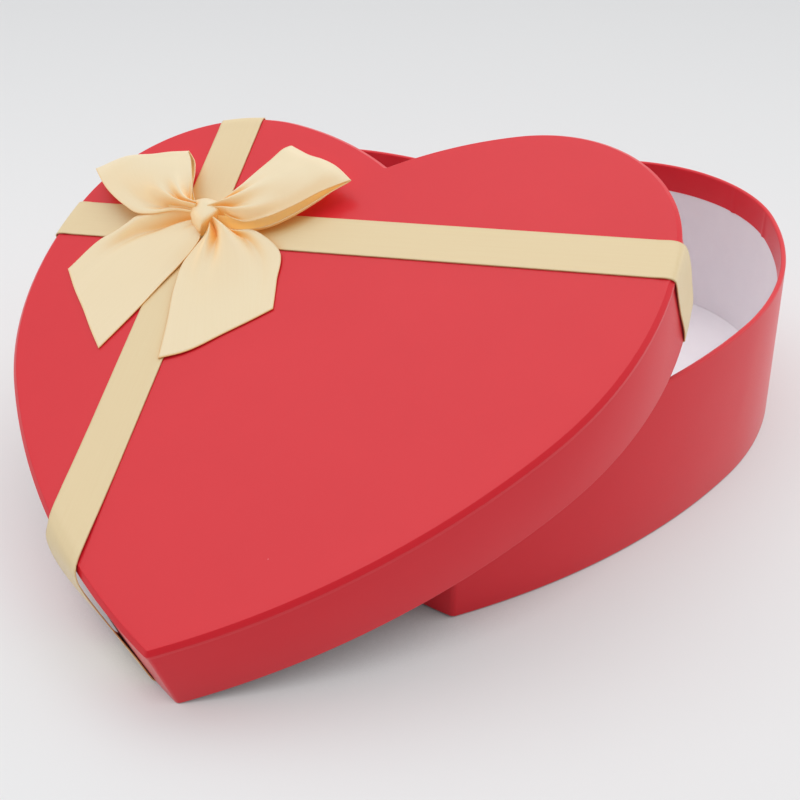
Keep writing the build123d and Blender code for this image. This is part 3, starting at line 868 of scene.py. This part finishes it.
left_loop_rails = [
    [(1, -1, 7.5), (-10.4, -0.4, 7.8), (-21.8, -3, 7.2), (-29.4, -2.8, 7), (-36.8, 0.4, 8), (-48.6, 8, 8.6),
     (-59, 18, 8.5), (-62.9, 22.3, 6.5), (-59, 19.5, 4.4), (-48, 12, 4), (-32, 4.5, 4.4), (-12, 2, 5.4),
     (0, 0, 5)],
    [(1, 0, 8), (-10, 2, 8.5), (-20, 3.5, 9), (-28, 6.5, 10), (-35, 11.5, 11), (-42, 18.5, 11.5),
     (-48, 26.5, 10.5), (-50, 30, 7.5), (-48, 27, 4.5), (-38, 18, 3.4), (-26, 10, 3.3), (-10, 3, 3.7),
     (0.5, 0.5, 4.5)],
    [(1, 1, 9), (-8.8, 2.9, 10.5), (-16, 6.5, 12), (-22.8, 11.8, 13), (-28, 18.5, 13), (-32, 25.3, 12),
     (-35, 30, 10.5), (-36, 31.8, 8), (-35, 30, 4.8), (-29, 22, 3.5), (-20, 13, 3.3), (-8, 4.5, 3.8),
     (1, 1, 5)],
    [(0.8, 1.8, 9), (-6, 4, 10.5), (-11, 8.5, 12.3), (-15.5, 14, 13.2), (-19.5, 20.5, 13.2),
     (-23.5, 27, 12.2), (-26.2, 31.8, 10.8), (-27, 33.5, 8), (-26.2, 31.8, 4.8), (-22, 25, 3.6),
     (-16, 16, 3.4), (-7, 6.5, 3.8), (0.8, 1.8, 5)],
    [(0.5, 2.5, 8.5), (-4.2, 5.4, 9.4), (-5.5, 9, 10.4), (-7, 14, 11.4), (-9.5, 19.5, 12),
     (-13.4, 26.9, 12), (-18, 33, 10.5), (-19.6, 35.4, 8), (-17.3, 33.4, 5.2), (-15, 28, 3.8),
     (-12.5, 19.5, 3.2), (-6, 9, 3.6), (0.5, 2.5, 5)]]
left_loop_creases = [(-0.72, 0.17, -3.6, 0.42)]
right_loop_rails = [
    [(7, 1.5, 8), (10.4, 3.5, 8.6), (14.5, 9.4, 9.7), (17.2, 14.8, 10.6), (19.8, 20, 11), (24.7, 30.5, 11),
     (27.8, 39.5, 10), (28.8, 43.1, 7.5), (27.5, 40.5, 4.8), (23.5, 31, 3.4), (17.5, 19.5, 3.2),
     (11.5, 8.5, 3.6), (7, 1.5, 5)],
    [(7, 0.8, 8.6), (12, 3, 10), (17, 7.5, 11.5), (22.5, 13, 12.8), (28, 19.5, 13.2), (33.5, 27, 12.8),
     (38, 34.5, 11), (39.5, 37.7, 8), (37.8, 35, 5), (31.5, 26.5, 3.7), (23.5, 16, 3.4), (14, 6, 3.7),
     (7, 0.8, 5)],
    [(7, 0, 9), (13, 1.8, 11), (20, 4, 12.8), (28, 9.5, 14), (36, 17, 14.3), (43, 25, 13.3),
     (47.5, 31.5, 11.8), (48.8, 34.2, 9), (46.8, 31.8, 6), (39.5, 23.5, 4.4), (29.5, 13, 3.7),
     (16.5, 4, 3.7), (7, 0, 5)],
    [(7, -0.8, 8.4), (13, 0, 9.6), (21, -0.3, 10.4), (30, 1.8, 11), (39.5, 8.5, 11.5), (48.5, 18, 12),
     (54.8, 27, 11.3), (56.5, 30.3, 9.2), (54.2, 27, 7), (46.5, 18.5, 5.4), (35, 7.5, 4.2), (19.5, 0, 3.6),
     (7, -0.8, 4.8)],
    [(7, -1.5, 8), (12.6, 0.2, 8.6), (19, -2.6, 8.5), (25.6, -4, 8.2), (34.5, -0.6, 8.2), (44.5, 6.6, 8.6),
     (54.5, 16.4, 8.8), (64.4, 24.8, 7.6), (57.5, 18.1, 7), (45.5, 6, 5.5), (33.8, -2, 4), (20, -4.6, 3.4),
     (7, -1.5, 4.5)]]
left_tail_rails = [
    [(0, 0, 6), (-9.6, 3, 6.2), (-17.7, 0.4, 6), (-23.1, -1.7, 5.6), (-28.7, -3.5, 5), (-32.9, -8.2, 4.2),
     (-36.7, -11.8, 3.4), (-41.6, -15.3, 2.4), (-51.5, -33.4, 0.55)],
    [(1.5, -2, 6.5), (-8, -3.5, 4.8), (-17, -8, 3.4), (-25, -13, 2.8), (-32, -20, 2.2), (-38, -31, 1.4),
     (-42.5, -44.3, 0.55)],
    [(3, -4, 6.5), (-5, -8, 5.2), (-12, -15, 3.8), (-18.5, -24, 2.7), (-24.5, -36, 1.7),
     (-32.5, -55, 0.55)],
    [(4.5, -6, 6), (0.5, -11.5, 5.2), (-4, -19.5, 3.8), (-9, -30, 2.3), (-14.5, -43, 1.2),
     (-23.5, -65.3, 0.55)],
    [(5, -8, 4.5), (6.4, -13, 4.4), (4.8, -18.5, 3), (2.2, -24.2, 1.7), (-2, -36, 1.2), (-6.5, -50.2, 0.8),
     (-14.9, -74.5, 0.55)]]
left_tail_creases = [(-0.9, 0.13, 3.0, 1.0), (-0.62, 0.14, -5.0, 0.95), (-0.05, 0.22, -1.6, 0.3)]
right_tail_rails = [
    [(9, -6, 6.5), (8.8, -11.4, 5.6), (5.7, -17.5, 3.5), (3.3, -24.6, 2.2), (4.8, -37.3, 1.8),
     (10.4, -57.9, 1.3), (15.1, -76.5, 1.1)],
    [(9.6, -5.4, 6.6), (11.5, -11, 6.8), (11.5, -17.5, 5.2), (12, -26, 3.2), (14.5, -37, 2),
     (20.5, -55, 1.1), (26.5, -70.3, 0.8)],
    [(10.4, -4.6, 8), (15.5, -9.5, 8.6), (20, -17, 6.8), (24, -27.5, 4), (28, -38, 1.8), (38, -59.3, 0.6)],
    [(11, -4, 7), (18.5, -7.5, 6.8), (26.5, -11.5, 5), (33, -18.5, 3), (38.5, -30, 1.2),
     (46.5, -51.3, 0.6)],
    [(11.4, -3.4, 6), (21, -7.2, 5.6), (28.5, -5.5, 5), (36.8, -8.1, 3.4), (44, -12.9, 1.7),
     (49.3, -29, 0.75), (53.9, -43.9, 0.6)]]
right_tail_creases = [(-0.5, 0.14, 2.2, 0.5), (-0.22, 0.16, -6, 0.5), (0.3, 0.18, 2.6, 0.7),
                      (0.64, 0.14, -3.6, 0.9)]
bow_parts = {
    "left_tail": (left_tail_rails, left_tail_creases, None, "bow_left_tail"),
    "right_tail": (right_tail_rails, right_tail_creases, None, "bow_right_tail"),
    "left_loop": (left_loop_rails, left_loop_creases, loop_turn, "bow_left_loop"),
    "right_loop": (right_loop_rails, [], loop_turn, "bow_right_loop"),
}
for name, (rails, creases, turn, node) in bow_parts.items():
    grid, shares = bow_sheet(rails, creases, turn, bow_rows if turn is None else 2 * bow_rows)
    piece = ribbon_sheet(name, grid, shares, bow_width, pale_satin, pale_reverse_painted_light)
    ribbon_calls(piece, node)

# Knot of the bow: the ribbon's middle, folded narrow and drawn once round the gathered loops and tails.
# It is broad at the far side, narrows towards the near side, and its edges roll under.
knot_width = 18 * mm
knot_columns = 31
knot_rails = [
    [(-3, 9, 3), (-6, 6.5, 6.3), (-4, 1.3, 7), (-1.3, -2.9, 6.5), (0.9, -6.2, 5), (2.7, -7.9, 3.5),
     (3.4, -7.6, 2)],
    [(-0.5, 9.5, 3), (-2.2, 5.6, 8.6), (0.8, -1, 10), (3.4, -5.8, 9.4), (4.4, -8.4, 7), (4.1, -8.8, 4),
     (4.2, -8.2, 2)],
    [(4.5, 10, 3), (3.8, 6, 9.6), (6.2, -2, 11.5), (6.8, -7.2, 10.5), (6.4, -9.3, 7.5), (4.9, -9.1, 4),
     (4.8, -8.4, 2)],
    [(11, 8, 3), (12.3, 1.8, 10.2), (11.4, -3.1, 11), (9.1, -6.7, 10), (6.8, -8.4, 7.5), (5.2, -8.8, 4),
     (5.2, -8, 2)],
    [(10, 7.5, 3), (10.1, 3.9, 6.6), (10.9, 1.4, 6.5), (10, -1.5, 5), (7.9, -5.7, 4), (5.8, -7.7, 3),
     (5.6, -7.6, 2)]]
grid, shares = bow_sheet(knot_rails, [], None, bow_rows, knot_columns, knot_width)
knot = ribbon_sheet("knot", grid, shares, knot_width, pale_satin, pale_reverse_painted_light)
ribbon_calls(knot, "bow_knot")

# Studio: a pale acrylic floor with a painted glow, stronger at the front, and painted shadow under
# overhangs, a wide soft light overhead, a small one at the right, and a white surround that is darker on
# the camera's side.
floor_half = 4.0
floor_low = -0.05 * mm
floor_cloud_size = 1000 / 3 * mm
floor_glow_front = 0.35
floor_glow_back = 0.2
floor_fade_from = 50 * mm
floor_fade_to = 600 * mm
# How far the painted shadow looks for overhangs, and the occlusion at which it is darkest and where it ends
painted_shadow_reach = 200 * mm
painted_shadow_dark = 0.05
painted_shadow_clear = 0.45
sky_front = 0.34
sky_back = 0.9
sky_front_depth = -0.9
sky_back_depth = 0.15
softboxes = {"overhead": ((-0.2, 0.38, 1.7), (2.2, 1.7), 12),
             "right_side": ((1.3, 0.5, 0.45), (1.0, 0.7), 2.5)}


def pale_floor():
    """Matt opal acrylic, faintly cloudy, with a painted glow that fades to the back, and painted shadow
    where ambient occlusion is low: the glow dims and the colour darkens towards grey under overhangs.
    """
    material, tree, shader = new_finish("opal acrylic", Roughness=0.9, Specular_IOR_Level=0.1,
                                        Emission_Color=colour("#FFFFFF"))
    place = add_node(tree, "ShaderNodeTexCoord").outputs["Object"]
    clouds = add_node(tree, "ShaderNodeTexNoise",
                      {"Vector": place, "Scale": 1 / floor_cloud_size, "Detail": 1.0})
    tone = add_node(tree, "ShaderNodeMix",
                    {0: clouds.outputs[0], 6: colour("#B6B7B9"), 7: colour("#B9BABB")}, data_type="RGBA")
    depth = add_node(tree, "ShaderNodeSeparateXYZ", {0: place}).outputs[1]
    glow = add_node(tree, "ShaderNodeMapRange",
                    {"Value": depth, "From Min": floor_fade_from, "From Max": floor_fade_to,
                     "To Min": floor_glow_front, "To Max": floor_glow_back})
    # Painted shadow: where ambient occlusion is low the glow dims and the colour darkens towards grey
    openness = add_node(tree, "ShaderNodeAmbientOcclusion", {"Distance": painted_shadow_reach}, samples=16)
    shade = add_node(tree, "ShaderNodeMapRange",
                     {"Value": openness.outputs["AO"], "From Min": painted_shadow_dark, "From Max": painted_shadow_clear})
    dimmed = add_node(tree, "ShaderNodeMath", {0: glow.outputs[0], 1: shade.outputs[0]},
                      operation="MULTIPLY")
    shaded = add_node(tree, "ShaderNodeMix",
                      {0: shade.outputs[0], 6: colour("#7A7678"), 7: tone.outputs[2]}, data_type="RGBA")
    tree.links.new(shaded.outputs[2], shader.inputs["Base Color"])
    tree.links.new(dimmed.outputs[0], shader.inputs["Emission Strength"])
    return material


floor_ends = ((-1, -1), (1, -1), (1, 1), (-1, 1))
floor_corners = [(x * floor_half, y * floor_half, floor_low) for x, y in floor_ends]
floor_mesh = bpy.data.meshes.new("floor")
floor_mesh.from_pydata(floor_corners, [], [(0, 1, 2, 3)])
floor_mesh.materials.append(pale_floor())
add_object("floor", floor_mesh)

world = bpy.data.worlds.new("studio surround")
world.use_nodes = True
sky = world.node_tree
sky_way = add_node(sky, "ShaderNodeTexCoord").outputs["Generated"]
sky_depth = add_node(sky, "ShaderNodeSeparateXYZ", {0: sky_way}).outputs[1]
sky_level = add_node(sky, "ShaderNodeMapRange",
                     {"Value": sky_depth, "From Min": sky_front_depth, "From Max": sky_back_depth,
                      "To Min": sky_front, "To Max": sky_back})
sky.nodes["Background"].inputs["Color"].default_value = colour("#FFFFFF")
sky.links.new(sky_level.outputs[0], sky.nodes["Background"].inputs["Strength"])
bpy.context.scene.world = world

for name, (place, size, power) in softboxes.items():
    light = bpy.data.lights.new(name, "AREA")
    light.shape = "RECTANGLE"
    light.size, light.size_y = size
    light.energy = power
    softbox = add_object(name, light)
    softbox.location = place
    softbox.rotation_euler = (-softbox.location).to_track_quat("-Z", "Y").to_euler()

# Camera: where the photograph was taken from, looking down on the box's front and a little rolled.
# The picture is square, so the sensor's width and the lens give its whole field of view.
camera_place = Vector((18.94, -676.77, 445.91)) * mm
camera_aim = Vector((-33.19, 21.71, 0)) * mm
camera_roll = 0.644
camera_sensor = 36
camera_lens = 80.186
camera_near = 10 * mm
camera_data = bpy.data.cameras.new("camera")
camera_data.sensor_width = camera_sensor
camera_data.lens = camera_lens
camera_data.clip_start = camera_near
camera = add_object("camera", camera_data)
looking = (camera_aim - camera_place).to_track_quat("-Z", "Y").to_matrix().to_4x4()
rolled = Matrix.Rotation(math.radians(camera_roll), 4, "Z")
camera.matrix_world = Matrix.Translation(camera_place) @ (looking @ rolled)
bpy.context.scene.camera = camera
bpy.context.scene.view_settings.view_transform = "Standard"

bpy.context.view_layer.update()
